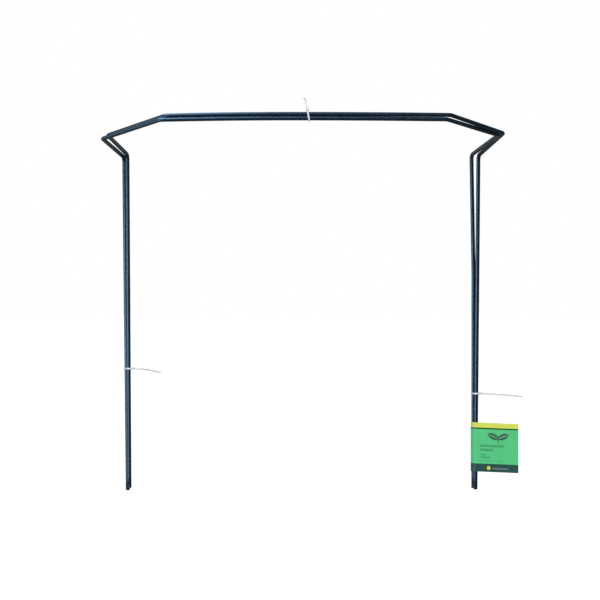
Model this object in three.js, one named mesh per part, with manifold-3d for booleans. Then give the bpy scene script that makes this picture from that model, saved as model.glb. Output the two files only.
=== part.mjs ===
// A pack of two bay-fronted bow plant supports, nested and tied together, with a folded card label.
// Millimetres, +Z up, the bow standing out towards -Y, the origin at ground level midway between the legs.
import * as THREE from "three";
import { mergeVertices } from "three/addons/utils/BufferGeometryUtils.js";
import Module from "manifold-3d";

const wasm = await Module();
wasm.setup();

// ---- driving dimensions ----
const legSpacing = 520.6;
const legHeight = 501.5;
const legBowHeight = 326;
const shoulderSpan = 581.2;
const shoulderDepth = 129;
const frontSpan = 411;
const frontDepth = 240;
const crown = 1.8;
const rodDiameter = 6.2;
const coreDiameter = 4.5;
const coatWall = 0.6;
const bendRadius = 9;
const clearance = 0.3;

const rodRadius = rodDiameter / 2;
const coreRadius = coreDiameter / 2;
const capHeight = 5;
const capSocket = 3;
const capFlatRadius = 2.2;
const coreSides = 8;
const coatSides = 12;
const capSides = 16;
const bendSteps = 4;

// How each hoop sits in the pack: bent rod springs a little, so no two hoops lie quite alike.
const hoops = [
  {
    name: "rear", x: -0.5, y: 0, z: 1.5, leanDegrees: -0.47, splay: 1.3, riseDegrees: 10.16,
    footLifts: [1.2, -0.8], legBows: [0, 2.1], shoulderTwistDegrees: 0.14, frontTwistDegrees: -0.28,
    setBack: 0, frontSpread: 0.7, frontShift: 0.6,
  },
  {
    name: "front", x: 2.1, y: -6.8, z: 2.8, leanDegrees: 0.08, splay: 3.8, riseDegrees: 11.36,
    footLifts: [1, -1.4], legBows: [0, 0], shoulderTwistDegrees: 0.48, frontTwistDegrees: 0.3,
    setBack: 8, frontSpread: -0.7, frontShift: -0.6,
  },
];
const [rearHoop, frontHoop] = hoops;

const tieWidth = 2.5;
const tieThickness = 1;
const tieTail = 62;
const tieHeadWidth = 4.2;
const tieHeadDepth = 4;
const tieHeadLength = 4.4;
const tieSlotSpare = 0.3;
const tieRootLap = 0.5;
const tieSlotExit = 1;
const tailSteps = 8;
const leftTieHeight = 183.5;
const rightTieHeight = 145.5;
const topTiePlace = 2.4;
const topTieLeanDegrees = 9.3;
const topTail = { pitch: -14, curl: -57, droop: 0 };
const leftTail = { pitch: 10, curl: 50, droop: -5.4 };
const rightTail = { pitch: -4, curl: 8, droop: -4.8 };

const cardWidth = 71.3;
const cardHeight = 74;
const cardThickness = 0.35;
const cardBottom = 28;
const cardDroopDegrees = 2.4;
const cardPlay = 0.8;
const creaseGap = 0.8;
const creaseSetOff = 1.5;
const flagForward = 2.8;
const sleeveSteps = 8;

const steel = new THREE.MeshStandardMaterial({ color: 0x8b8f92, roughness: 0.4, metalness: 1 });
const coat = new THREE.MeshStandardMaterial({ color: 0x14303c, roughness: 0.35, metalness: 0 });
const capPlastic = new THREE.MeshStandardMaterial({ color: 0x0c1a22, roughness: 0.5, metalness: 0 });
const nylon = new THREE.MeshStandardMaterial({ color: 0xe8ebee, roughness: 0.45, metalness: 0 });
const card = new THREE.MeshStandardMaterial({ color: 0x5fc98a, roughness: 0.6, metalness: 0 });

const part = new THREE.Group();

function addPart(name, geometry, material) {
  const mesh = new THREE.Mesh(geometry, material);
  mesh.name = name;
  part.add(mesh);
  return mesh;
}

// ---- solids ----
const weldDistance = 1e-4;

function solidOf(geometry) {
  const plain = geometry.clone();
  plain.deleteAttribute("normal");
  plain.deleteAttribute("uv");
  const merged = mergeVertices(plain, weldDistance);
  return new wasm.Manifold(new wasm.Mesh({
    numProp: 3,
    vertProperties: new Float32Array(merged.attributes.position.array),
    triVerts: new Uint32Array(merged.index.array),
  }));
}

function geometryOf(solid) {
  const mesh = solid.getMesh();
  const geometry = new THREE.BufferGeometry();
  geometry.setAttribute("position", new THREE.BufferAttribute(new Float32Array(mesh.vertProperties), 3));
  geometry.setIndex(new THREE.BufferAttribute(new Uint32Array(mesh.triVerts), 1));
  geometry.computeVertexNormals();
  return geometry;
}

// A path that steps from one chosen point to the next, so that a swept section has a ring at each.
class SteppedPath extends THREE.Curve {
  constructor(points) {
    super();
    this.points = points;
    this.steps = points.length - 1;
  }
  getPoint(t) {
    return this.points[Math.round(t * this.steps)].clone();
  }
  getPointAt(t) {
    return this.getPoint(t);
  }
  getTangentAt(t) {
    const i = Math.round(t * this.steps);
    const before = this.points[Math.max(i - 1, 0)];
    const here = this.points[i];
    const after = this.points[Math.min(i + 1, this.steps)];
    const arriving = here.clone().sub(before).normalize();
    const leaving = after.clone().sub(here).normalize();
    return arriving.add(leaving).normalize();
  }
}

function sweep(section, points) {
  const path = new SteppedPath(points);
  return new THREE.ExtrudeGeometry(section, { steps: path.steps, extrudePath: path, bevelEnabled: false });
}

function circlePoints(radius, sides) {
  const points = [];
  for (let i = 0; i < sides; i++) {
    const angle = (2 * Math.PI * i) / sides;
    points.push(new THREE.Vector2(radius * Math.cos(angle), radius * Math.sin(angle)));
  }
  return points;
}

function arcPoints(centre, radius, from, to, steps) {
  const points = [];
  for (let i = 0; i <= steps; i++) {
    const angle = from + ((to - from) * i) / steps;
    points.push(new THREE.Vector2(centre.x + radius * Math.cos(angle), centre.y + radius * Math.sin(angle)));
  }
  return points;
}

// ---- the bent hoops ----
function bendPoints(hoop) {
  const rise = THREE.MathUtils.degToRad(hoop.riseDegrees);
  const shoulderTwist = Math.tan(THREE.MathUtils.degToRad(hoop.shoulderTwistDegrees));
  const frontTwist = Math.tan(THREE.MathUtils.degToRad(hoop.frontTwistDegrees));
  const frontHalf = frontSpan / 2 + hoop.frontSpread;
  const side = (sign, footLift, legBow) => [
    [sign * legSpacing / 2, 0, footLift],
    [sign * (legSpacing / 2 + hoop.splay * legBowHeight / legHeight) + legBow, 0, legBowHeight],
    [sign * (legSpacing / 2 + hoop.splay), 0, legHeight],
    [
      sign * shoulderSpan / 2,
      -(shoulderDepth - hoop.setBack) * Math.cos(rise),
      legHeight + shoulderDepth * Math.sin(rise) + sign * (shoulderSpan / 2) * shoulderTwist,
    ],
    [
      sign * frontHalf + hoop.frontShift,
      -(frontDepth - hoop.setBack) * Math.cos(rise),
      legHeight + frontDepth * Math.sin(rise) + sign * frontHalf * frontTwist,
    ],
  ];
  const left = side(-1, hoop.footLifts[0], hoop.legBows[0]);
  const right = side(1, hoop.footLifts[1], hoop.legBows[1]);
  const place = new THREE.Matrix4().makeTranslation(hoop.x, hoop.y, hoop.z);
  place.multiply(new THREE.Matrix4().makeRotationY(THREE.MathUtils.degToRad(hoop.leanDegrees)));
  const middle = [0, left[4][1], (left[4][2] + right[4][2]) / 2 + crown];
  return [...left, middle, ...right.reverse()].map((p) => new THREE.Vector3(...p).applyMatrix4(place));
}

// Rounds a bend of the rod: points on the arc that joins the two straight runs at a corner.
function bendArc(before, corner, after) {
  const back = before.clone().sub(corner).normalize();
  const on = after.clone().sub(corner).normalize();
  const turn = Math.PI - back.angleTo(on);
  const setOff = bendRadius * Math.tan(turn / 2);
  const centre = back.clone().add(on).normalize();
  centre.multiplyScalar(bendRadius / Math.cos(turn / 2)).add(corner);
  const start = back.multiplyScalar(setOff).add(corner).sub(centre);
  const end = on.multiplyScalar(setOff).add(corner).sub(centre);
  const axis = start.clone().cross(end).normalize();
  const arc = [];
  for (let i = 0; i <= bendSteps; i++) {
    arc.push(start.clone().applyAxisAngle(axis, (turn * i) / bendSteps).add(centre));
  }
  return arc;
}

// The rod's centre line. The leg bows and the crown are too gentle to need rounding.
function rodRoute(hoop, footTrim) {
  const corners = bendPoints(hoop);
  const last = corners.length - 1;
  const gentle = [1, last / 2, last - 1];
  const route = [];
  for (let i = 0; i <= last; i++) {
    if (i === 0 || i === last) {
      const towards = corners[i === 0 ? 1 : last - 1].clone().sub(corners[i]).normalize();
      route.push(corners[i].clone().addScaledVector(towards, footTrim));
    } else if (gentle.includes(i)) {
      route.push(corners[i]);
    } else {
      route.push(...bendArc(corners[i - 1], corners[i], corners[i + 1]));
    }
  }
  return route;
}

function addHoop(hoop) {
  const coreEnd = capHeight - capSocket + clearance;
  const coreSection = new THREE.Shape(circlePoints(coreRadius, coreSides));
  addPart(hoop.name + "_hoop_core", sweep(coreSection, rodRoute(hoop, coreEnd)), steel);
  const coatSection = new THREE.Shape(circlePoints(rodRadius, coatSides));
  coatSection.holes.push(new THREE.Path(circlePoints(rodRadius - coatWall, coatSides)));
  addPart(hoop.name + "_hoop_coating", sweep(coatSection, rodRoute(hoop, capHeight + clearance)), coat);
  const corners = bendPoints(hoop);
  addFootCap(hoop.name + "_left_foot_cap", corners[0], corners[1]);
  addFootCap(hoop.name + "_right_foot_cap", corners[corners.length - 1], corners[corners.length - 2]);
}

// A moulded cup: flat sole, rounded edge, and a socket for the end of the steel core.
function addFootCap(name, foot, above) {
  const edge = rodRadius - capFlatRadius;
  const profile = [
    [0, 0],
    [capFlatRadius, 0],
    [capFlatRadius + edge * Math.sin(Math.PI / 4), edge * (1 - Math.cos(Math.PI / 4))],
    [rodRadius, edge],
    [rodRadius, capHeight],
    [rodRadius - coatWall, capHeight],
    [rodRadius - coatWall, capHeight - capSocket],
    [0, capHeight - capSocket],
  ];
  const geometry = new THREE.LatheGeometry(profile.map(([r, h]) => new THREE.Vector2(r, h)), capSides);
  geometry.rotateX(Math.PI / 2);
  const cap = addPart(name, geometryOf(solidOf(geometry)), capPlastic);
  const along = above.clone().sub(foot).normalize();
  cap.quaternion.setFromUnitVectors(new THREE.Vector3(0, 0, 1), along);
  cap.position.copy(foot);
}

// ---- cable ties ----
// The centre of a rod where a level plane cuts its leg.
function legCentre(hoop, height, isRight) {
  const corners = bendPoints(hoop);
  const leg = isRight ? corners.slice(-3).reverse() : corners.slice(0, 3);
  const [low, high] = height < leg[1].z ? [leg[0], leg[1]] : [leg[1], leg[2]];
  return low.clone().lerp(high, (height - low.z) / (high.z - low.z));
}

// A loop around two rods, in a plane of its own: "out" points to the head and "back" away from the front.
// It starts at the head, goes over the near rod, round the far one and across the front to the head again.
function tieLoop(near, far, radius) {
  const apart = far.clone().sub(near);
  const facing = Math.atan2(apart.y, apart.x);
  return [
    ...arcPoints(near, radius, 0, facing - Math.PI / 2, 2),
    ...arcPoints(far, radius, facing - Math.PI / 2, facing + Math.PI / 2, 7),
    ...arcPoints(near, radius, facing + Math.PI / 2, 1.5 * Math.PI, 3),
  ];
}

// The free end: it leaves the head at its pitch and does most of its curling near the head.
function tailPoints(start, tail) {
  const points = [];
  const at = start.clone();
  for (let i = 0; i < tailSteps; i++) {
    const left = 1 - (i + 0.5) / tailSteps;
    const angle = THREE.MathUtils.degToRad(tail.pitch + tail.curl * (1 - left ** 3));
    at.x += (Math.cos(angle) * tieTail) / tailSteps;
    at.y -= (Math.sin(angle) * tieTail) / tailSteps;
    at.z += tail.droop / tailSteps;
    points.push(at.clone());
  }
  return points;
}

function addTie(name, near, far, slack, tail, place) {
  const radius = rodRadius + slack + tieThickness / 2;
  const frontLine = near.y - radius;
  const headStart = near.x + radius - tieThickness / 2;
  const slotHeight = tieThickness + 2 * tieSlotSpare;
  const loop = tieLoop(near, far, radius).map((p) => new THREE.Vector3(p.x, p.y, 0));
  const root = new THREE.Vector3(near.x + radius, frontLine + slotHeight / 2 + tieRootLap, 0);
  const exit = new THREE.Vector3(headStart + tieHeadLength + tieSlotExit, frontLine, 0);
  const strapRoute = [root, ...loop, exit, ...tailPoints(exit, tail)];
  const section = new THREE.Shape([
    new THREE.Vector2(-tieWidth / 2, -tieThickness / 2),
    new THREE.Vector2(tieWidth / 2, -tieThickness / 2),
    new THREE.Vector2(tieWidth / 2, tieThickness / 2),
    new THREE.Vector2(-tieWidth / 2, tieThickness / 2),
  ]);
  const strap = solidOf(sweep(section, strapRoute));
  const block = new THREE.BoxGeometry(tieHeadLength, tieHeadDepth, tieHeadWidth);
  block.translate(headStart + tieHeadLength / 2, frontLine, 0);
  const slot = new THREE.BoxGeometry(2 * tieHeadLength, slotHeight, tieWidth + 2 * tieSlotSpare);
  slot.translate(headStart + tieHeadLength / 2, frontLine, 0);
  const head = solidOf(block).subtract(solidOf(slot));
  const geometry = geometryOf(head.add(strap));
  geometry.applyMatrix4(place);
  addPart(name, geometry, nylon);
}

function addLegTie(name, height, isRight, tail) {
  const near = legCentre(frontHoop, height, isRight);
  const far = legCentre(rearHoop, height, isRight);
  addTie(name, near, far, clearance, tail, new THREE.Matrix4().makeTranslation(0, 0, height));
}

// The top tie's own plane stands across the span: its "out" runs up through both rods and its "back" is +Y.
function addTopTie(name, tail) {
  const span = (hoop) => {
    const corners = bendPoints(hoop);
    const middle = corners[(corners.length - 1) / 2];
    return new THREE.Vector3(middle.z, middle.y, 0);
  };
  const near = span(frontHoop);
  const far = span(rearHoop);
  const halfApart = near.distanceTo(far) / 2;
  const tilt = Math.atan2(near.y - far.y, near.x - far.x);
  const place = new THREE.Matrix4().makeTranslation(topTiePlace, (near.y + far.y) / 2, (near.x + far.x) / 2);
  place.multiply(new THREE.Matrix4().makeRotationY(-THREE.MathUtils.degToRad(topTieLeanDegrees)));
  place.multiply(new THREE.Matrix4().makeBasis(
    new THREE.Vector3(0, 0, 1),
    new THREE.Vector3(0, 1, 0),
    new THREE.Vector3(-1, 0, 0),
  ));
  place.multiply(new THREE.Matrix4().makeRotationZ(tilt));
  const upper = new THREE.Vector3(halfApart, 0, 0);
  const lower = new THREE.Vector3(-halfApart, 0, 0);
  addTie(name, upper, lower, 2 * clearance, tail, place);
}

// ---- folded card label ----
// The outline that keeps one distance from both rods.
function roundBoth(near, far, radius) {
  const apart = far.clone().sub(near);
  const facing = Math.atan2(apart.y, apart.x);
  return [
    ...arcPoints(far, radius, facing - Math.PI / 2, facing + Math.PI / 2, sleeveSteps),
    ...arcPoints(near, radius, facing + Math.PI / 2, facing + 1.5 * Math.PI, sleeveSteps),
  ];
}

function addLabel() {
  const middleHeight = cardBottom + cardHeight / 2;
  const near = legCentre(frontHoop, middleHeight, true);
  const far = legCentre(rearHoop, middleHeight, true);
  const inside = rodRadius + cardPlay;
  const left = Math.min(near.x, far.x) - inside - cardThickness;
  const crease = Math.max(near.x, far.x) + inside + cardThickness + creaseSetOff;
  const leafPair = 2 * cardThickness;
  const front = near.y - flagForward;
  const solid = (outline) => solidOf(new THREE.ExtrudeGeometry(new THREE.Shape(outline), {
    depth: cardHeight,
    bevelEnabled: false,
  }));
  const slab = (from, to) => solid([
    new THREE.Vector2(from, front - leafPair / 2),
    new THREE.Vector2(to, front - leafPair / 2),
    new THREE.Vector2(to, front + leafPair / 2),
    new THREE.Vector2(from, front + leafPair / 2),
  ]);
  const outer = solid(roundBoth(near, far, inside + cardThickness));
  const bore = solid(roundBoth(near, far, inside));
  const neck = slab(near.x, crease - creaseGap);
  const sleeve = outer.add(neck).subtract(bore);
  const flag = slab(crease, left + cardWidth);
  const droop = Math.tan(THREE.MathUtils.degToRad(cardDroopDegrees));
  const hang = new THREE.Matrix4().makeTranslation(0, 0, cardBottom + droop * crease);
  hang.multiply(new THREE.Matrix4().makeShear(0, -droop, 0, 0, 0, 0));
  for (const [name, piece] of [["label_sleeve", sleeve], ["label_flag", flag]]) {
    const geometry = geometryOf(piece);
    geometry.applyMatrix4(hang);
    addPart(name, geometry, card);
  }
}

for (const hoop of hoops) {
  addHoop(hoop);
}
addTopTie("cable_tie_top", topTail);
addLegTie("cable_tie_left", leftTieHeight, false, leftTail);
addLegTie("cable_tie_right", rightTieHeight, true, rightTail);
addLabel();

export default part;
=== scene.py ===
"""A pack of two bay-fronted bow plant supports: coated hoops, nylon cable ties and a folded card label."""

import math

import bmesh
import bpy
from mathutils import Matrix, Vector, noise


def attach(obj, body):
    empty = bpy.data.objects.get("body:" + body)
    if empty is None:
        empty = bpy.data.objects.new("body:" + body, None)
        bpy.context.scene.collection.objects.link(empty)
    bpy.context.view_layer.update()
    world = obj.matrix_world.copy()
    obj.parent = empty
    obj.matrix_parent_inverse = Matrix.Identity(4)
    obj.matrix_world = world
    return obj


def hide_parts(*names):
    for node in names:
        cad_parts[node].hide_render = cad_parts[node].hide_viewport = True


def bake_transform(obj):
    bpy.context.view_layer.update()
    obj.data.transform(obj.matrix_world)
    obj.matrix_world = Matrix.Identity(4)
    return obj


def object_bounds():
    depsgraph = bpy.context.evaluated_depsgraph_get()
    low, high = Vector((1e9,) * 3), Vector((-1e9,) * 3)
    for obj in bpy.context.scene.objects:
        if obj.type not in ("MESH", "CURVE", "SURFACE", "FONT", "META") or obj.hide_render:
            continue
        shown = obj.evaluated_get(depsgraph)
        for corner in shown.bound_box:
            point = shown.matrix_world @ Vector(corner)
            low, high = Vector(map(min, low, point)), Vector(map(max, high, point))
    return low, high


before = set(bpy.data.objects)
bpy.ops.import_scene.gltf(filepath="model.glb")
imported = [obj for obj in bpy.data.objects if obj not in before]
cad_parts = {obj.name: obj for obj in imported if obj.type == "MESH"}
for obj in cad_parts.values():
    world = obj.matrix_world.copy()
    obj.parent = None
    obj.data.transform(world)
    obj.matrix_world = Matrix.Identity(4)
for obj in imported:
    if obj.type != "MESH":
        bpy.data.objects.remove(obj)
cad_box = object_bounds()

MM = 0.001

# ---- driving dimensions, as in the CAD model, in millimetres ----
LEG_SPACING = 520.6
LEG_HEIGHT = 501.5
LEG_BOW_HEIGHT = 326
SHOULDER_SPAN = 581.2
SHOULDER_DEPTH = 129
FRONT_SPAN = 411
FRONT_DEPTH = 240
CROWN = 1.8
ROD_RADIUS = 3.1
COAT_WALL = 0.6
BEND_RADIUS = 9
CLEARANCE = 0.3
CORE_RADIUS = 2.25
CAP_HEIGHT = 5
CAP_FLAT_RADIUS = 2.2
CAP_SOCKET = 2.6
CAP_BEAD = 0.12
CAP_BEAD_HEIGHT = 0.9
CAP_LIP = 0.1
ROD_SIDES = 32
CORE_SIDES = 16
CAP_SIDES = 40
BEND_STEPS = 14
ROUTE_STEP = 12

HOOPS = {
    "rear": {
        "place": (-0.5, 0, 1.5), "lean": -0.47, "splay": 1.3, "rise": 10.16,
        "foot_lifts": (1.2, -0.8), "leg_bows": (0, 2.1), "shoulder_twist": 0.14, "front_twist": -0.28,
        "set_back": 0, "front_spread": 0.7, "front_shift": 0.6,
    },
    "front": {
        "place": (2.1, -6.8, 2.8), "lean": 0.08, "splay": 3.8, "rise": 11.36,
        "foot_lifts": (1, -1.4), "leg_bows": (0, 0), "shoulder_twist": 0.48, "front_twist": 0.3,
        "set_back": 8, "front_spread": -0.7, "front_shift": -0.6,
    },
}

TIE_WIDTH = 2.5
TIE_THICKNESS = 1.0
TIE_TAIL = 62
TIE_HEAD_WIDTH = 4.2
TIE_HEAD_DEPTH = 4.0
TIE_HEAD_LENGTH = 4.4
TIE_SLOT_SPARE = 0.3
TIE_ROOT_LAP = 0.5
TIE_SLOT_EXIT = 1
TAIL_STEPS = 60
STRAP_FILL = 0.96
TOOTH = 0.36
SMOOTH_END = 34
TIES = {
    "left": {"height": 183.5, "tail": (10, 50, -5.4)},
    "right": {"height": 145.5, "tail": (-4, 8, -4.8)},
    "top": {"x": 2.4, "lean": 9.3, "tail": (-14, -57, 0)},
}

CARD_WIDTH = 71.3
CARD_HEIGHT = 74
CARD_THICKNESS = 0.35
CARD_BOTTOM = 28
CARD_DROOP = 2.4
CARD_PLAY = 0.8
SLEEVE_SHARE = 0.95
CARD_ROWS = 36
CARD_STEP = 0.7
CREASE_SET_OFF = 1.5
FLAG_FORWARD = 2.8


# ---- meshes ----
def make_object(name, vertices, faces, smooth=True):
    """A mesh object from points in millimetres."""
    mesh = bpy.data.meshes.new(name)
    mesh.from_pydata([Vector(v) * MM for v in vertices], [], faces)
    mesh.validate()
    for polygon in mesh.polygons:
        polygon.use_smooth = smooth
    piece = bpy.data.objects.new(name, mesh)
    bpy.context.scene.collection.objects.link(piece)
    return piece


def outward(piece):
    """Turns every face of a closed mesh to point out."""
    bm = bmesh.new()
    bm.from_mesh(piece.data)
    bmesh.ops.recalc_face_normals(bm, faces=bm.faces)
    bm.to_mesh(piece.data)
    bm.free()


def apply_modifiers(piece):
    """Leaves the piece with its modifiers worked into its mesh."""
    evaluated = piece.evaluated_get(bpy.context.evaluated_depsgraph_get())
    made = bpy.data.meshes.new_from_object(evaluated)
    piece.modifiers.clear()
    piece.data = made


def bevel(piece, width, segments=3, angle=30):
    """Rounds the sharp edges of a piece, with its width in millimetres."""
    modifier = piece.modifiers.new("edge", "BEVEL")
    modifier.width = width * MM
    modifier.segments = segments
    modifier.limit_method = "ANGLE"
    modifier.angle_limit = math.radians(angle)
    apply_modifiers(piece)


def smooth_by_angle(piece, degrees=35):
    """Shades smooth, with crisp edges where the faces turn sharply."""
    for polygon in piece.data.polygons:
        polygon.use_smooth = True
    bm = bmesh.new()
    bm.from_mesh(piece.data)
    limit = math.radians(degrees)
    for edge in bm.edges:
        edge.smooth = len(edge.link_faces) != 2 or edge.calc_face_angle(0) < limit
    bm.to_mesh(piece.data)
    bm.free()


def join(name, pieces):
    """Joins pieces into one mesh object of that name."""
    joined = bmesh.new()
    materials = []
    for piece in pieces:
        first = len(joined.faces)
        joined.from_mesh(piece.data)
        joined.faces.ensure_lookup_table()
        slots = []
        for material in piece.data.materials:
            if material not in materials:
                materials.append(material)
            slots.append(materials.index(material))
        for face in joined.faces[first:]:
            face.material_index = slots[face.material_index] if slots else 0
        bpy.data.objects.remove(piece)
    mesh = bpy.data.meshes.new(name)
    joined.to_mesh(mesh)
    joined.free()
    for material in materials:
        mesh.materials.append(material)
    whole = bpy.data.objects.new(name, mesh)
    bpy.context.scene.collection.objects.link(whole)
    return whole


def carried_frames(points, first_normal):
    """For each point of a path, the direction along it and two directions across it that don't twist."""
    frames = []
    across = Vector(first_normal)
    for i, point in enumerate(points):
        before = points[max(i - 1, 0)]
        after = points[min(i + 1, len(points) - 1)]
        along = (after - before).normalized()
        across = (across - along * across.dot(along)).normalized()
        frames.append((point, along, across, along.cross(across)))
    return frames


def tube(name, points, radius, sides, first_normal):
    """A closed tube along a path, with a map of length and turn, both in millimetres, for its material."""
    vertices = []
    faces = []
    for i, (point, _, across, up) in enumerate(carried_frames(points, first_normal)):
        size = radius(i) if callable(radius) else radius
        for k in range(sides):
            angle = 2 * math.pi * k / sides
            vertices.append(point + across * size * math.cos(angle) + up * size * math.sin(angle))
    rings = len(points)
    for i in range(rings - 1):
        for k in range(sides):
            a = i * sides + k
            b = i * sides + (k + 1) % sides
            faces.append((a, b, b + sides, a + sides))
    faces.append(tuple(reversed(range(sides))))
    faces.append(tuple(range((rings - 1) * sides, rings * sides)))
    piece = make_object(name, vertices, faces)
    for polygon in piece.data.polygons[-2:]:
        polygon.use_smooth = False
    lengths = [0]
    for before, after in zip(points[:-1], points[1:]):
        lengths.append(lengths[-1] + (after - before).length)
    layer = piece.data.uv_layers.new(name="length_and_turn")
    girth = 2 * math.pi * ROD_RADIUS
    for polygon in piece.data.polygons:
        turns = [piece.data.loops[n].vertex_index % sides for n in polygon.loop_indices]
        wraps = max(turns) - min(turns) > sides // 2
        for n, turn in zip(polygon.loop_indices, turns):
            ring = piece.data.loops[n].vertex_index // sides
            step = turn + sides if wraps and turn == 0 else turn
            layer.data[n].uv = (lengths[ring], girth * step / sides)
    return piece


# ---- material nodes ----
class Nodes:
    """A short way to write a node tree: each call adds one node and gives its output."""

    def __init__(self, name):
        self.material = bpy.data.materials.new(name)
        self.material.use_nodes = True
        self.tree = self.material.node_tree
        self.shader = self.tree.nodes["Principled BSDF"]

    def add(self, kind, **settings):
        node = self.tree.nodes.new(kind)
        for key, value in settings.items():
            setattr(node, key, value)
        return node

    def set(self, target, value):
        if isinstance(value, bpy.types.NodeSocket):
            self.tree.links.new(value, target)
        else:
            target.default_value = value

    def math(self, operation, *values):
        node = self.add("ShaderNodeMath", operation=operation)
        for socket, value in zip(node.inputs, values):
            self.set(socket, value)
        return node.outputs[0]

    def map_range(self, value, low, high, to_low, to_high):
        node = self.add("ShaderNodeMapRange", interpolation_type="SMOOTHSTEP")
        for socket, given in zip(node.inputs, (value, low, high, to_low, to_high)):
            self.set(socket, given)
        return node.outputs[0]

    def mix(self, amount, first, second):
        node = self.add("ShaderNodeMix", data_type="RGBA")
        self.set(node.inputs["Factor"], amount)
        self.set(node.inputs[6], first)
        self.set(node.inputs[7], second)
        return node.outputs[2]

    def noise(self, vector, scale, detail=3, roughness=0.5):
        node = self.add("ShaderNodeTexNoise")
        self.set(node.inputs["Vector"], vector)
        node.inputs["Scale"].default_value = scale
        node.inputs["Detail"].default_value = detail
        node.inputs["Roughness"].default_value = roughness
        return node.outputs["Fac"]

    def stretched(self, vector, scale):
        node = self.add("ShaderNodeMapping")
        self.set(node.inputs["Vector"], vector)
        node.inputs["Scale"].default_value = scale
        return node.outputs[0]

    def map(self, name):
        return self.add("ShaderNodeUVMap", uv_map=name).outputs[0]

    def place(self):
        return self.add("ShaderNodeTexCoord").outputs["Object"]

    def parts(self, vector):
        node = self.add("ShaderNodeSeparateXYZ")
        self.set(node.inputs[0], vector)
        return node.outputs

    def bump(self, height, strength, distance, after=None):
        node = self.add("ShaderNodeBump")
        self.set(node.inputs["Height"], height)
        node.inputs["Strength"].default_value = strength
        node.inputs["Distance"].default_value = distance
        if after is not None:
            self.set(node.inputs["Normal"], after)
        return node.outputs[0]

    def finish(self, **sockets):
        for name, value in sockets.items():
            self.set(self.shader.inputs[name.replace("_", " ")], value)
        return self.material


def rod_coating():
    """Dark blue-green coating: a fine orange peel, faint draw lines, dull rubs and a slow drift in tone."""
    n = Nodes("rod_coating")
    along_round = n.map("length_and_turn")
    place = n.place()
    peel = n.noise(place, 900, 2, 0.6)
    ripple = n.noise(place, 120, 3)
    draw_lines = n.noise(n.stretched(along_round, (0.015, 1.2, 1)), 1.0, 3, 0.6)
    rub = n.noise(n.stretched(along_round, (0.03, 0.4, 1)), 1.0, 4, 0.6)
    rubbed = n.map_range(rub, 0.60, 0.74, 0.0, 1.0)
    drift = n.map_range(n.noise(place, 14, 2), 0.35, 0.65, 0.0, 1.0)
    base = n.mix(drift, (0.0028, 0.0125, 0.0240, 1), (0.0042, 0.0170, 0.0315, 1))
    worn = n.mix(n.math("MULTIPLY", rubbed, 0.16), base, (0.026, 0.050, 0.070, 1))
    rough = n.math("ADD", n.map_range(draw_lines, 0.3, 0.7, 0.29, 0.35), n.math("MULTIPLY", rubbed, 0.08))
    soft = n.bump(ripple, 0.025, 0.0004)
    fine = n.bump(peel, 0.01, 0.0001, soft)
    lines = n.bump(draw_lines, 0.012, 0.0002, fine)
    return n.finish(Base_Color=worn, Roughness=rough, Normal=lines, IOR=1.5)


def cap_plastic():
    """Near-black satin moulding with a fine spark texture and scuffed soles."""
    n = Nodes("cap_plastic")
    place = n.place()
    spark = n.noise(place, 2600, 2, 0.7)
    scuff = n.map_range(n.noise(place, 700, 4, 0.7), 0.5, 0.72, 0.0, 1.0)
    base = n.mix(n.math("MULTIPLY", scuff, 0.35), (0.004, 0.009, 0.013, 1), (0.035, 0.042, 0.048, 1))
    rough = n.map_range(spark, 0.3, 0.7, 0.42, 0.58)
    return n.finish(Base_Color=base, Roughness=rough, Normal=n.bump(spark, 0.25, 0.0001))


def tie_nylon():
    """Natural nylon, milky and a little clearer in places, with flow marks from the mould."""
    n = Nodes("tie_nylon")
    place = n.place()
    cloud = n.noise(place, 260, 3, 0.6)
    flow = n.noise(n.stretched(place, (1, 1, 3)), 900, 3, 0.5)
    base = n.mix(n.map_range(cloud, 0.35, 0.65, 0.0, 1.0), (0.66, 0.65, 0.65, 1), (0.74, 0.73, 0.73, 1))
    rough = n.map_range(flow, 0.3, 0.7, 0.28, 0.42)
    n.shader.inputs["Specular IOR Level"].default_value = 0.3
    n.shader.inputs["Subsurface Weight"].default_value = 0.25
    n.shader.inputs["Subsurface Radius"].default_value = (0.0012, 0.0012, 0.0013)
    return n.finish(Base_Color=base, Roughness=rough, Normal=n.bump(flow, 0.06, 0.0001))


def steel_end():
    """Drawn wire, as it shows at a cut end."""
    n = Nodes("steel_end")
    place = n.place()
    grain = n.noise(n.stretched(place, (1, 1, 0.1)), 3000, 3, 0.6)
    base = n.mix(grain, (0.38, 0.38, 0.39, 1), (0.60, 0.60, 0.61, 1))
    n.shader.inputs["Metallic"].default_value = 1.0
    return n.finish(Base_Color=base, Roughness=n.map_range(grain, 0.3, 0.7, 0.3, 0.5))


# Print on the card, in millimetres from its lower left corner as it is laid flat.
TOP_BAND = CARD_HEIGHT - 7.6
TOP_LINE = TOP_BAND - 2.2
BOTTOM_BAND = 12.3
BAND_REACH = 200
TEXT_LEFT = 19.6
TEXT_BARS = (
    (36.0, 39.2, 3.3), (20.0, 33.2, 3.5), (8.5, 25.9, 2.0), (15.0, 21.9, 2.2), (35.0, 17.2, 0.8),
)
SPROUT = (47.2, 51.5)
LEAF = (8.6, 4.4)
FOOT_DOT = (32.7, 6.0)
FOOT_BAR = (38.0, 63.0, 5.3, 1.5)


def bar_mask(n, across, up, left, right, low, high):
    """One inside an upright rectangle of the print, and zero outside it."""
    in_width = n.math("COMPARE", across, (left + right) / 2, (right - left) / 2)
    in_height = n.math("COMPARE", up, (low + high) / 2, (high - low) / 2)
    return n.math("MULTIPLY", in_width, in_height)


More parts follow.
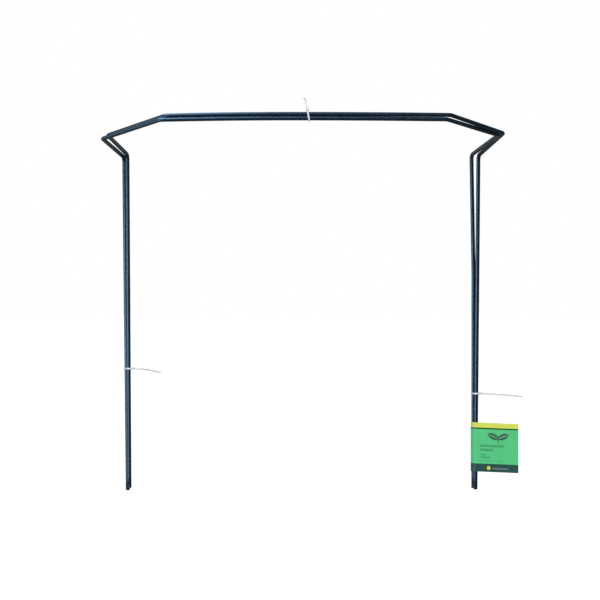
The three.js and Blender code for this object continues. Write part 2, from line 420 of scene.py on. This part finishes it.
def oval_mask(n, flat, centre, half_length, half_width, degrees):
    """One inside a turned oval of the print, and zero outside it."""
    node = n.add("ShaderNodeMapping", vector_type="TEXTURE")
    n.set(node.inputs["Vector"], flat)
    node.inputs["Location"].default_value = (*centre, 0)
    node.inputs["Rotation"].default_value = (0, 0, math.radians(degrees))
    node.inputs["Scale"].default_value = (half_length, half_width, 1)
    length = n.add("ShaderNodeVectorMath", operation="LENGTH")
    n.set(length.inputs[0], node.outputs[0])
    return n.math("LESS_THAN", length.outputs["Value"], 1.0)


def printed_card():
    """Satin printed board: colour bands, a plain two-leaf sprout and muted bars where words would be."""
    n = Nodes("printed_card")
    flat = n.map("flat_card")
    across, up, _ = n.parts(flat)
    place = n.place()
    tooth = n.noise(place, 1500, 3, 0.6)
    cloud = n.noise(place, 60, 3, 0.5)
    drift = n.map_range(cloud, 0.3, 0.7, 0.0, 1.0)
    field = n.mix(drift, (0.086, 0.560, 0.205, 1), (0.094, 0.590, 0.220, 1))
    bands = (
        (0, BOTTOM_BAND, (0.020, 0.075, 0.062, 1)),
        (TOP_LINE, TOP_BAND, (0.010, 0.120, 0.010, 1)),
        (TOP_BAND, 2 * CARD_HEIGHT, (0.680, 0.730, 0.100, 1)),
    )
    ink = field
    for low, high, colour in bands:
        ink = n.mix(bar_mask(n, across, up, -BAND_REACH, BAND_REACH, low, high), ink, colour)
    for length, height, thick in TEXT_BARS:
        right = TEXT_LEFT + length
        mask = bar_mask(n, across, up, TEXT_LEFT, right, height - thick / 2, height + thick / 2)
        worn = n.map_range(n.noise(n.stretched(flat, (0.9, 0.05, 1)), 1.0, 2), 0.4, 0.55, 0.35, 0.75)
        ink = n.mix(n.math("MULTIPLY", mask, worn), ink, (0.030, 0.210, 0.085, 1))
    x, z = SPROUT
    leaf = (0.025, 0.150, 0.075, 1)
    for side in (-1, 1):
        middle = (x + side * 0.84 * LEAF[0], z + 2.0)
        ink = n.mix(oval_mask(n, flat, middle, *LEAF, side * 24), ink, leaf)
        ink = n.mix(oval_mask(n, flat, middle, 0.8 * LEAF[0], 0.4, side * 24), ink, (0.42, 0.62, 0.30, 1))
    ink = n.mix(bar_mask(n, across, up, x - 0.6, x + 0.6, z - 8.0, z + 1.0), ink, leaf)
    ink = n.mix(oval_mask(n, flat, FOOT_DOT, 3.7, 3.7, 0), ink, (0.060, 0.130, 0.020, 1))
    ink = n.mix(oval_mask(n, flat, FOOT_DOT, 2.7, 2.7, 0), ink, (0.620, 0.680, 0.120, 1))
    left, right, height, thick = FOOT_BAR
    foot_bar = bar_mask(n, across, up, left, right, height - thick / 2, height + thick / 2)
    ink = n.mix(n.math("MULTIPLY", foot_bar, 0.38), ink, (0.45, 0.52, 0.50, 1))
    n.shader.inputs["Specular IOR Level"].default_value = 0.3
    rough = n.map_range(tooth, 0.3, 0.7, 0.50, 0.60)
    return n.finish(Base_Color=ink, Roughness=rough, Normal=n.bump(tooth, 0.10, 0.0001))


def bare_card(name, colour, dark):
    """Unprinted board, for the cut edges and the inside faces."""
    n = Nodes(name)
    fibre = n.noise(n.stretched(n.place(), (1, 1, 6)), 1200, 4, 0.7)
    return n.finish(Base_Color=n.mix(fibre, dark, colour), Roughness=n.map_range(fibre, 0.3, 0.7, 0.7, 0.9))


# ---- the hoops ----
def bend_points(hoop):
    """The corners of a hoop's centre line where its straight runs would meet, left foot to right foot."""
    rise = math.radians(hoop["rise"])
    shoulder_twist = math.tan(math.radians(hoop["shoulder_twist"]))
    front_twist = math.tan(math.radians(hoop["front_twist"]))
    front_half = FRONT_SPAN / 2 + hoop["front_spread"]

    def side(sign, foot_lift, leg_bow):
        bow_splay = hoop["splay"] * LEG_BOW_HEIGHT / LEG_HEIGHT
        return [
            (sign * LEG_SPACING / 2, 0, foot_lift),
            (sign * (LEG_SPACING / 2 + bow_splay) + leg_bow, 0, LEG_BOW_HEIGHT),
            (sign * (LEG_SPACING / 2 + hoop["splay"]), 0, LEG_HEIGHT),
            (
                sign * SHOULDER_SPAN / 2,
                -(SHOULDER_DEPTH - hoop["set_back"]) * math.cos(rise),
                LEG_HEIGHT + SHOULDER_DEPTH * math.sin(rise) + sign * SHOULDER_SPAN / 2 * shoulder_twist,
            ),
            (
                sign * front_half + hoop["front_shift"],
                -(FRONT_DEPTH - hoop["set_back"]) * math.cos(rise),
                LEG_HEIGHT + FRONT_DEPTH * math.sin(rise) + sign * front_half * front_twist,
            ),
        ]

    left = side(-1, hoop["foot_lifts"][0], hoop["leg_bows"][0])
    right = side(1, hoop["foot_lifts"][1], hoop["leg_bows"][1])
    lean = Matrix.Rotation(math.radians(hoop["lean"]), 4, "Y")
    place = Matrix.Translation(hoop["place"]) @ lean
    middle = (0, left[4][1], (left[4][2] + right[4][2]) / 2 + CROWN)
    return [place @ Vector(p) for p in (*left, middle, *reversed(right))]


def bend_arc(before, corner, after):
    """Points on the arc that rounds one corner of the rod."""
    back = (before - corner).normalized()
    on = (after - corner).normalized()
    turn = math.pi - back.angle(on)
    centre = corner + (back + on).normalized() * BEND_RADIUS / math.cos(turn / 2)
    set_off = BEND_RADIUS * math.tan(turn / 2)
    start = corner + back * set_off - centre
    end = corner + on * set_off - centre
    axis = start.cross(end).normalized()
    angles = [turn * i / BEND_STEPS for i in range(BEND_STEPS + 1)]
    return [Matrix.Rotation(angle, 3, axis) @ start + centre for angle in angles]


def rod_route(corners, trim):
    """The rod's centre line, with round bends, a gently crowned span and evenly spread points."""
    last = len(corners) - 1
    rough = [corners[0] + (corners[1] - corners[0]).normalized() * trim]
    for i in range(1, last):
        if i in (1, last // 2, last - 1):
            rough.append(corners[i])
        else:
            rough.extend(bend_arc(corners[i - 1], corners[i], corners[i + 1]))
    rough.append(corners[last] + (corners[last - 1] - corners[last]).normalized() * trim)
    crown = corners[last // 2]
    route = [rough[0]]
    for before, after in zip(rough[:-1], rough[1:]):
        gap = (after - before).length
        steps = max(1, round(gap / ROUTE_STEP))
        for k in range(1, steps + 1):
            point = before.lerp(after, k / steps)
            if crown in (before, after) and gap > BEND_RADIUS:
                beside = after if before == crown else before
                share = (point - crown).length / (beside - crown).length
                straight = crown.z + (beside.z - crown.z) * share
                point.z += (crown.z + (beside.z - crown.z) * share * share) - straight
            route.append(point)
    return route


def make_cap(name, foot, above):
    """A moulded end cap: round-edged sole with a small dimple in it, and a bead at its rim."""
    edge = ROD_RADIUS - CAP_FLAT_RADIUS
    dimple = [(0.0, 0.12), (0.45, 0.12), (0.6, 0.0)]
    profile = [*dimple, (CAP_FLAT_RADIUS, 0.0)]
    for i in range(1, 9):
        angle = math.pi / 2 * i / 8
        profile.append((CAP_FLAT_RADIUS + edge * math.sin(angle), edge * (1 - math.cos(angle))))
    bead = CAP_HEIGHT - CAP_BEAD_HEIGHT
    profile.append((ROD_RADIUS, bead))
    for i in range(1, 6):
        angle = math.pi * i / 6
        profile.append((ROD_RADIUS + CAP_BEAD * math.sin(angle), bead + CAP_BEAD_HEIGHT * i / 6))
    socket_radius = ROD_RADIUS - COAT_WALL
    profile += [(ROD_RADIUS - 0.05, CAP_HEIGHT + CAP_LIP), (socket_radius, CAP_HEIGHT + CAP_LIP)]
    profile += [(socket_radius, CAP_HEIGHT - CAP_SOCKET), (0.0, CAP_HEIGHT - CAP_SOCKET)]
    sides = CAP_SIDES
    vertices = []
    faces = []
    for radius, height in profile[1:-1]:
        for k in range(sides):
            angle = 2 * math.pi * k / sides
            vertices.append(Vector((radius * math.cos(angle), radius * math.sin(angle), height)))
    for i in range(len(profile) - 3):
        for k in range(sides):
            a = i * sides + k
            b = i * sides + (k + 1) % sides
            faces.append((a, b, b + sides, a + sides))
    low = len(vertices)
    high = low + 1
    vertices += [Vector((0, 0, profile[0][1])), Vector((0, 0, profile[-1][1]))]
    top = (len(profile) - 3) * sides
    for k in range(sides):
        faces.append((low, (k + 1) % sides, k))
        faces.append((high, top + k, top + (k + 1) % sides))
    turn = Vector((0, 0, 1)).rotation_difference(above - foot).to_matrix().to_4x4()
    place = Matrix.Translation(foot) @ turn
    cap = make_object(name, [place @ v for v in vertices], faces)
    outward(cap)
    smooth_by_angle(cap, 40)
    return cap


def make_hoop(name, hoop, coating, plastic, steel):
    """One coated rod with its wire and its two foot caps."""
    corners = bend_points(hoop)
    route = rod_route(corners, CAP_HEIGHT + CLEARANCE / 2)
    near_start = route[0].lerp(route[1], 0.02)
    near_end = route[-1].lerp(route[-2], 0.02)
    route.insert(1, near_start)
    route.insert(-1, near_end)
    last = len(route) - 1

    def coat_radius(i):
        """The coating thins a hair on the bends and is rounded off at each end."""
        if i in (0, last):
            return ROD_RADIUS - 0.12
        before, here, after = route[i - 1], route[i], route[i + 1]
        turning = (here - before).angle(after - here)
        return ROD_RADIUS - min(0.05, turning * 0.5)

    rod = tube(name + "_hoop_rod", route, coat_radius, ROD_SIDES, (0, 1, 0))
    outward(rod)
    rod.data.materials.append(coating)
    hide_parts(name + "_hoop_coating")
    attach(rod, "root")

    core_route = rod_route(corners, CAP_HEIGHT - CAP_SOCKET + CLEARANCE)
    core = tube(name + "_hoop_wire", core_route, CORE_RADIUS, CORE_SIDES, (0, 1, 0))
    outward(core)
    core.data.materials.append(steel)
    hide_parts(name + "_hoop_core")
    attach(core, "root")

    for side, foot, above in (("left", corners[0], corners[1]), ("right", corners[-1], corners[-2])):
        cap = make_cap(name + "_" + side + "_cap", foot, above)
        cap.data.materials.append(plastic)
        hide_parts(name + "_" + side + "_foot_cap")
        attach(cap, "root")


# ---- the cable ties ----
def leg_centre(name, height, is_right):
    """Where a rod's centre line crosses a level plane on one leg."""
    corners = bend_points(HOOPS[name])
    foot, bow, top = reversed(corners[-3:]) if is_right else corners[:3]
    low, high = (foot, bow) if height < bow.z else (bow, top)
    return low.lerp(high, (height - low.z) / (high.z - low.z))


def arc_points(centre, radius, start, end, step=0.5):
    """Points on an arc about a centre in the XY plane, about a step apart in millimetres."""
    count = max(2, round(abs(end - start) * radius / step))
    angles = [start + (end - start) * i / count for i in range(count + 1)]
    return [Vector((centre.x + radius * math.cos(a), centre.y + radius * math.sin(a), 0)) for a in angles]


def spaced(points, step):
    """The same path with points at an even step."""
    made = [points[0].copy()]
    left = step
    for before, after in zip(points[:-1], points[1:]):
        gap = (after - before).length
        done = 0.0
        while gap - done >= left:
            done += left
            made.append(before.lerp(after, done / gap))
            left = step
        left -= gap - done
    return made


def strap_route(near, far, radius, tail):
    """From the root, over the near rod, round the far one, across the front, through the head and on."""
    apart = far - near
    facing = math.atan2(apart.y, apart.x)
    front_line = near.y - radius
    slot_height = TIE_THICKNESS + 2 * TIE_SLOT_SPARE
    points = [Vector((near.x + radius, front_line + slot_height / 2 + TIE_ROOT_LAP, 0))]
    points += arc_points(near, radius, 0, facing - math.pi / 2)
    points += arc_points(far, radius, facing - math.pi / 2, facing + math.pi / 2)
    points += arc_points(near, radius, facing + math.pi / 2, 1.5 * math.pi)
    tail_start = near.x + radius - TIE_THICKNESS / 2 + TIE_HEAD_LENGTH + TIE_SLOT_EXIT
    at = Vector((tail_start, front_line, 0))
    points.append(at.copy())
    pitch, curl, droop = tail
    for i in range(TAIL_STEPS):
        share = (i + 0.5) / TAIL_STEPS
        angle = math.radians(pitch + curl * (1 - (1 - share) ** 3))
        at.x += math.cos(angle) * TIE_TAIL / TAIL_STEPS
        at.y -= math.sin(angle) * TIE_TAIL / TAIL_STEPS
        at.z += droop * (0.6 + 0.8 * share) / TAIL_STEPS
        points.append(at.copy())
    return points


def make_strap(route):
    """The toothed strap: a rounded flat section, teeth on its inner face, and a thin gripping tip."""
    points = spaced(route, TOOTH)
    count = len(points)
    half_width = TIE_WIDTH / 2
    half_thick = TIE_THICKNESS / 2
    tip_start = count - SMOOTH_END
    vertices = []
    faces = []
    width_line = Vector((0, 0, 1))
    for i, (point, along, wide, thick) in enumerate(carried_frames(points, width_line)):
        taper = 1.0 if i < tip_start else 1.0 - 0.38 * (i - tip_start) / SMOOTH_END
        thin = 1.0 if i < tip_start else 0.72
        toothed = SMOOTH_END < i < tip_start
        groove = 0.09 if toothed and i % 2 else 0.0
        grip = 0.10 if i >= tip_start and (i // 2) % 2 else 0.0
        w = half_width * taper
        t = half_thick * thin * STRAP_FILL
        rim = w - 0.28
        section = [
            (-w, -t * 0.5), (-rim, -t), (-rim + 0.1, -t + grip),
            (rim - 0.1, -t + grip), (rim, -t), (w, -t * 0.5),
            (w, t * 0.5), (rim, t), (rim - 0.14, t - groove),
            (-rim + 0.14, t - groove), (-rim, t), (-w, t * 0.5),
        ]
        for across, out in section:
            vertices.append(point + wide * across - thick * out)
    ring = 12
    for i in range(count - 1):
        for k in range(ring):
            a = i * ring + k
            b = i * ring + (k + 1) % ring
            faces.append((a, b, b + ring, a + ring))
    faces.append(tuple(reversed(range(ring))))
    faces.append(tuple(range((count - 1) * ring, count * ring)))
    strap = make_object("strap", vertices, faces)
    outward(strap)
    smooth_by_angle(strap, 32)
    return strap


def make_head(near, radius):
    """The tie's head: a slotted block with a chamfered mouth, and the pawl that bites the teeth."""
    start = near.x + radius - TIE_THICKNESS / 2
    front_line = near.y - radius
    wide = TIE_HEAD_WIDTH / 2
    deep = TIE_HEAD_DEPTH / 2
    slot_wide = TIE_WIDTH / 2 + TIE_SLOT_SPARE
    slot_deep = TIE_THICKNESS / 2 + TIE_SLOT_SPARE
    mouth = 0.35
    stations = [
        (start, deep - 0.3, wide - 0.3, slot_deep + mouth, slot_wide + mouth),
        (start + 0.3, deep, wide, slot_deep + mouth, slot_wide + mouth),
        (start + 0.9, deep, wide, slot_deep, slot_wide),
        (start + TIE_HEAD_LENGTH - 0.9, deep, wide, slot_deep, slot_wide),
        (start + TIE_HEAD_LENGTH, deep - 0.35, wide - 0.35, slot_deep, slot_wide),
    ]
    vertices = []
    faces = []
    for x, outer_deep, outer_wide, inner_deep, inner_wide in stations:
        for half_deep, half_wide in ((outer_deep, outer_wide), (inner_deep, inner_wide)):
            for sy, sz in ((-1, -1), (1, -1), (1, 1), (-1, 1)):
                vertices.append(Vector((x, front_line + sy * half_deep, sz * half_wide)))
    for i in range(len(stations) - 1):
        for side in range(4):
            on = (side + 1) % 4
            for loop in (0, 4):
                a = i * 8 + loop + side
                b = i * 8 + loop + on
                faces.append((a, b, b + 8, a + 8))
    for base in (0, (len(stations) - 1) * 8):
        for side in range(4):
            on = (side + 1) % 4
            faces.append((base + side, base + on, base + 4 + on, base + 4 + side))
    head = make_object("head", vertices, faces, smooth=False)
    outward(head)
    bevel(head, 0.22, 3)
    smooth_by_angle(head, 50)
    pawl_low = front_line + slot_deep + 0.1
    pawl_high = front_line + TIE_THICKNESS / 2 * STRAP_FILL - 0.02
    x0, x1, x2 = start + 1.1, start + 2.6, start + 3.0
    side = slot_wide - 0.25
    outline = [(x0, pawl_low), (x1, pawl_high), (x2, pawl_high), (x2, pawl_low)]
    vertices = [Vector((x, y, z)) for z in (-side, side) for x, y in outline]
    faces = [(0, 1, 2, 3), (7, 6, 5, 4), (0, 4, 5, 1), (1, 5, 6, 2), (2, 6, 7, 3), (3, 7, 4, 0)]
    pawl = make_object("pawl", vertices, faces, smooth=False)
    outward(pawl)
    return head, pawl


def make_tie(name, near, far, slack, tail, place, nylon):
    """One cable tie round two rods, made in its own plane and then put in its place."""
    radius = ROD_RADIUS + slack + TIE_THICKNESS / 2
    strap = make_strap(strap_route(near, far, radius, tail))
    head, pawl = make_head(near, radius)
    tie = join("nylon_tie_" + name, [strap, head, pawl])
    to_metres = Matrix.Translation(place.to_translation() * MM) @ place.to_3x3().to_4x4()
    tie.data.transform(to_metres)
    tie.data.materials.append(nylon)
    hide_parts("cable_tie_" + name)
    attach(tie, "root")


def make_leg_tie(name, is_right, nylon):
    """A level tie round one pair of legs."""
    tie = TIES[name]
    near = leg_centre("front", tie["height"], is_right)
    far = leg_centre("rear", tie["height"], is_right)
    place = Matrix.Translation((0, 0, tie["height"]))
    make_tie(name, near, far, CLEARANCE, tie["tail"], place, nylon)


def make_top_tie(nylon):
    """The tie at the middle of the span: its own out runs up through both rods, and its back is +Y."""
    tie = TIES["top"]
    spans = []
    for name in ("front", "rear"):
        corners = bend_points(HOOPS[name])
        middle = corners[len(corners) // 2]
        spans.append(Vector((middle.z, middle.y, 0)))
    near, far = spans
    half_apart = (near - far).length / 2
    tilt = math.atan2(near.y - far.y, near.x - far.x)
    upright = Matrix(((0, 0, -1, 0), (0, 1, 0, 0), (1, 0, 0, 0), (0, 0, 0, 1)))
    place = Matrix.Translation((tie["x"], (near.y + far.y) / 2, (near.x + far.x) / 2))
    place = place @ Matrix.Rotation(-math.radians(tie["lean"]), 4, "Y") @ upright
    place = place @ Matrix.Rotation(tilt, 4, "Z")
    upper = Vector((half_apart, 0, 0))
    make_tie("top", upper, -upper, 2 * CLEARANCE, tie["tail"], place, nylon)


# ---- the card label ----
def card_outline(near, far, crease, flag_end, line):
    """The card's middle line in plan: front leaf in, round both rods, and back leaf out again."""
    radius = ROD_RADIUS + CARD_PLAY * SLEEVE_SHARE + CARD_THICKNESS / 2
    leaf = CARD_THICKNESS / 2 + 0.02
    apart = far - near
    facing = math.atan2(apart.y, apart.x)
    crease_front = Vector((crease, line - leaf, 0))
    crease_back = Vector((crease, line + leaf, 0))

    def tangent_angle(centre, point, sign):
        """Where a line from the point touches a rod's circle."""
        to_point = point - centre
        reach = math.acos(radius / to_point.length)
        return math.atan2(to_point.y, to_point.x) + sign * reach

    front_turn = tangent_angle(near, crease_front, -1)
    back_turn = tangent_angle(far, crease_back, 1)
    front = [Vector((flag_end, line - leaf, 0)), crease_front + Vector((0.9, 0, 0)), crease_front]
    ring = arc_points(near, radius, front_turn, facing + math.pi / 2 - 2 * math.pi, 0.8)
    ring += arc_points(far, radius, facing + math.pi / 2 - 2 * math.pi, back_turn - 2 * math.pi, 0.8)
    back = [crease_back, crease_back + Vector((0.9, 0, 0)), Vector((flag_end, line + leaf, 0))]
    return front, ring, back


def eased(points, rounds):
    """Softens the corners of an open path, keeping its ends."""
    for _ in range(rounds):
        inner = [
            points[i - 1] * 0.25 + points[i] * 0.5 + points[i + 1] * 0.25 for i in range(1, len(points) - 1)
        ]
        points = [points[0], *inner, points[-1]]
    return points


def make_card(printed, edge, inside):
    """The folded card as one thin sheet, with a map of the flat card for its print."""
    middle_height = CARD_BOTTOM + CARD_HEIGHT / 2
    near = leg_centre("front", middle_height, True)
    far = leg_centre("rear", middle_height, True)
    near.z = far.z = 0
    reach = ROD_RADIUS + CARD_PLAY + CARD_THICKNESS
    left = min(near.x, far.x) - reach
    crease = max(near.x, far.x) + reach + CREASE_SET_OFF
    flag_end = left + CARD_WIDTH
    line = near.y - FLAG_FORWARD
    front, ring, back = card_outline(near, far, crease, flag_end, line)
    route = eased(spaced([*front, *ring, *back], CARD_STEP), 3)
    route[0], route[-1] = front[0], back[-1]
    turn_point = min(range(len(route)), key=lambda i: route[i].x)
    lengths = [0]
    for before, after in zip(route[:-1], route[1:]):
        lengths.append(lengths[-1] + (after - before).length)
    droop = math.tan(math.radians(CARD_DROOP))
    columns = len(route)
    flag_width = flag_end - crease
    vertices = []
    flat = []
    for j in range(CARD_ROWS + 1):
        share = j / CARD_ROWS
        height = CARD_HEIGHT * share
        for i, point in enumerate(route):
            out = max(0.0, point.x - crease)
            bow = 0.5 * math.sin(math.pi * min(1.0, out / flag_width))
            curl = 1.1 * (out / flag_width) ** 3 * (0.35 + (1 - share) ** 2)
            wave = 0.10 * noise.noise(Vector((point.x * 0.06, height * 0.05, 3.0))) * min(1.0, out / 6)
            lift = CARD_BOTTOM + height + droop * (crease - point.x)
            vertices.append(Vector((point.x, point.y - bow - curl + wave, lift)))
            flat.append((abs(lengths[turn_point] - lengths[i]), height))
    faces = []
    for j in range(CARD_ROWS):
        for i in range(columns - 1):
            a = j * columns + i
            faces.append((a, a + 1, a + 1 + columns, a + columns))
    card = make_object("folded_card", vertices, faces)
    layer = card.data.uv_layers.new(name="flat_card")
    for loop in card.data.loops:
        layer.data[loop.index].uv = flat[loop.vertex_index]
    for material in (printed, edge, inside):
        card.data.materials.append(material)
    return card, crease, line


def finish_card(card, crease, line):
    """Turns the sheet to face the front and gives the card its thickness."""
    bm = bmesh.new()
    bm.from_mesh(card.data)
    bm.normal_update()
    bm.faces.ensure_lookup_table()
    if bm.faces[0].normal.y > 0:
        bmesh.ops.reverse_faces(bm, faces=bm.faces)
    bm.to_mesh(card.data)
    bm.free()
    solidify = card.modifiers.new("board", "SOLIDIFY")
    solidify.thickness = CARD_THICKNESS * MM
    solidify.offset = 0
    solidify.use_even_offset = True
    solidify.material_offset = 2
    solidify.material_offset_rim = 1
    apply_modifiers(card)
    smooth_by_angle(card, 40)
    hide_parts("label_sleeve", "label_flag")
    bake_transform(card)


# ---- studio ----
VIEW_DISTANCE = 5.0
VIEW_AZIMUTH = -1.9
EYE_HEIGHT = 0.2864
FRAME_WIDTH = 0.9036
FRAME_SET_OFF = -0.0018
SENSOR = 36
ROOM_FILL = 0.75
SKY = (0.35, 0.61, 0.97)
TEAL = (0.38, 0.74, 1.0)
WARM = (1.0, 0.99, 0.97)


def make_camera():
    """A level camera, nearly square to the front."""
    turn = math.radians(VIEW_AZIMUTH)
    forward = Vector((-math.sin(turn), math.cos(turn), 0))
    sideways = Vector((math.cos(turn), math.sin(turn), 0))
    data = bpy.data.cameras.new("camera")
    data.sensor_width = SENSOR
    data.lens = SENSOR * VIEW_DISTANCE / FRAME_WIDTH
    camera = bpy.data.objects.new("camera", data)
    camera.location = Vector((0, 0, EYE_HEIGHT)) - forward * VIEW_DISTANCE + sideways * FRAME_SET_OFF
    camera.rotation_euler = (math.pi / 2, 0, turn)
    bpy.context.scene.collection.objects.link(camera)
    bpy.context.scene.camera = camera


def area_light(name, place, target, width, height, power, colour, lights=True, reflects=True):
    """A rectangular light that points at its target, and may only light surfaces or only be reflected."""
    data = bpy.data.lights.new(name, "AREA")
    data.shape = "RECTANGLE"
    data.size = width
    data.size_y = height
    data.energy = power
    data.color = colour
    light = bpy.data.objects.new(name, data)
    light.location = place
    light.visible_diffuse = lights
    light.visible_glossy = reflects
    light.rotation_euler = (Vector(target) - Vector(place)).to_track_quat("-Z", "Y").to_euler()
    bpy.context.scene.collection.objects.link(light)


def make_world():
    """White behind everything, even light all round, and a room to reflect, paler at the left and back."""
    world = bpy.data.worlds.new("studio")
    bpy.context.scene.world = world
    world.use_nodes = True
    tree = world.node_tree
    tree.nodes.clear()
    add = tree.nodes.new
    link = tree.links.new
    direction = add("ShaderNodeTexCoord")
    split = add("ShaderNodeSeparateXYZ")
    link(direction.outputs["Generated"], split.inputs[0])
    side = add("ShaderNodeMapRange")
    link(split.outputs["X"], side.inputs["Value"])
    side.inputs["From Min"].default_value = 0.3
    side.inputs["From Max"].default_value = -0.9
    side.inputs["To Min"].default_value = 0.02
    side.inputs["To Max"].default_value = 0.15
    back = add("ShaderNodeMapRange")
    link(split.outputs["Y"], back.inputs["Value"])
    back.inputs["From Min"].default_value = 0.3
    back.inputs["From Max"].default_value = 0.9
    back.inputs["To Min"].default_value = 0.0
    back.inputs["To Max"].default_value = 0.28
    both = add("ShaderNodeMath")
    link(side.outputs[0], both.inputs[0])
    link(back.outputs[0], both.inputs[1])
    room = add("ShaderNodeBackground")
    room.inputs["Color"].default_value = (0.90, 0.96, 1.0, 1)
    link(both.outputs[0], room.inputs["Strength"])
    paper = add("ShaderNodeBackground")
    paper.inputs["Color"].default_value = (1, 1, 1, 1)
    paper.inputs["Strength"].default_value = 1.0
    path = add("ShaderNodeLightPath")
    mix = add("ShaderNodeMixShader")
    fill = add("ShaderNodeBackground")
    fill.inputs["Color"].default_value = (0.96, 0.98, 1.0, 1)
    fill.inputs["Strength"].default_value = ROOM_FILL
    reflected = add("ShaderNodeMixShader")
    link(path.outputs["Is Glossy Ray"], reflected.inputs[0])
    link(fill.outputs[0], reflected.inputs[1])
    link(room.outputs[0], reflected.inputs[2])
    link(path.outputs["Is Camera Ray"], mix.inputs[0])
    link(reflected.outputs[0], mix.inputs[1])
    link(paper.outputs[0], mix.inputs[2])
    out = add("ShaderNodeOutputWorld")
    link(mix.outputs[0], out.inputs["Surface"])


def make_floor():
    """A pale floor that glows like a light table, so that only faint shadows show on it."""
    n = Nodes("floor_paper")
    n.shader.inputs["Base Color"].default_value = (0.16, 0.16, 0.16, 1)
    n.shader.inputs["Roughness"].default_value = 1.0
    n.shader.inputs["Specular IOR Level"].default_value = 0.0
    n.shader.inputs["Emission Color"].default_value = (1, 1, 1, 1)
    n.shader.inputs["Emission Strength"].default_value = 1.0
    low = cad_box[0][2] - 0.0006
    size = 60.0
    mesh = bpy.data.meshes.new("floor")
    corners = [(-size, -size, low), (size, -size, low), (size, size, low), (-size, size, low)]
    mesh.from_pydata(corners, [], [(0, 1, 2, 3)])
    mesh.materials.append(n.material)
    floor = bpy.data.objects.new("floor", mesh)
    bpy.context.scene.collection.objects.link(floor)
    floor.visible_glossy = False
    floor.visible_diffuse = False


def make_studio():
    """Soft light: four panels seen only in reflections, and one that lights the front."""
    make_world()
    make_floor()
    area_light("over_left", (-0.85, -0.90, 1.90), (-0.85, -0.89, 0.50), 1.4, 3.0, 180, SKY, lights=False)
    area_light("low_left", (-1.35, -1.15, 0.30), (-0.10, 0.0, 0.30), 1.5, 0.34, 27, SKY, lights=False)
    area_light("near_floor", (-1.35, -1.15, -0.08), (-0.10, 0.0, -0.08), 1.5, 0.42, 8, SKY, lights=False)
    area_light("left_wall", (-2.20, 0.40, 0.35), (0.0, 0.40, 0.35), 1.7, 1.3, 14, TEAL, lights=False)
    area_light("front_fill", (0.5, -4.2, 1.9), (0.1, 0.0, 0.3), 1.8, 1.2, 64, WARM, reflects=False)
    bpy.context.scene.view_settings.view_transform = "Standard"
    bpy.context.scene.view_settings.look = "None"


# ---- everything together ----
make_camera()
coating = rod_coating()
plastic = cap_plastic()
nylon = tie_nylon()
steel = steel_end()
for hoop_name, hoop in HOOPS.items():
    make_hoop(hoop_name, hoop, coating, plastic, steel)
make_leg_tie("left", False, nylon)
make_leg_tie("right", True, nylon)
make_top_tie(nylon)
edge_board = bare_card("card_edge", (0.86, 0.85, 0.80, 1), (0.70, 0.69, 0.64, 1))
inside_board = bare_card("card_inside", (0.80, 0.79, 0.74, 1), (0.72, 0.71, 0.66, 1))
finish_card(*make_card(printed_card(), edge_board, inside_board))
make_studio()
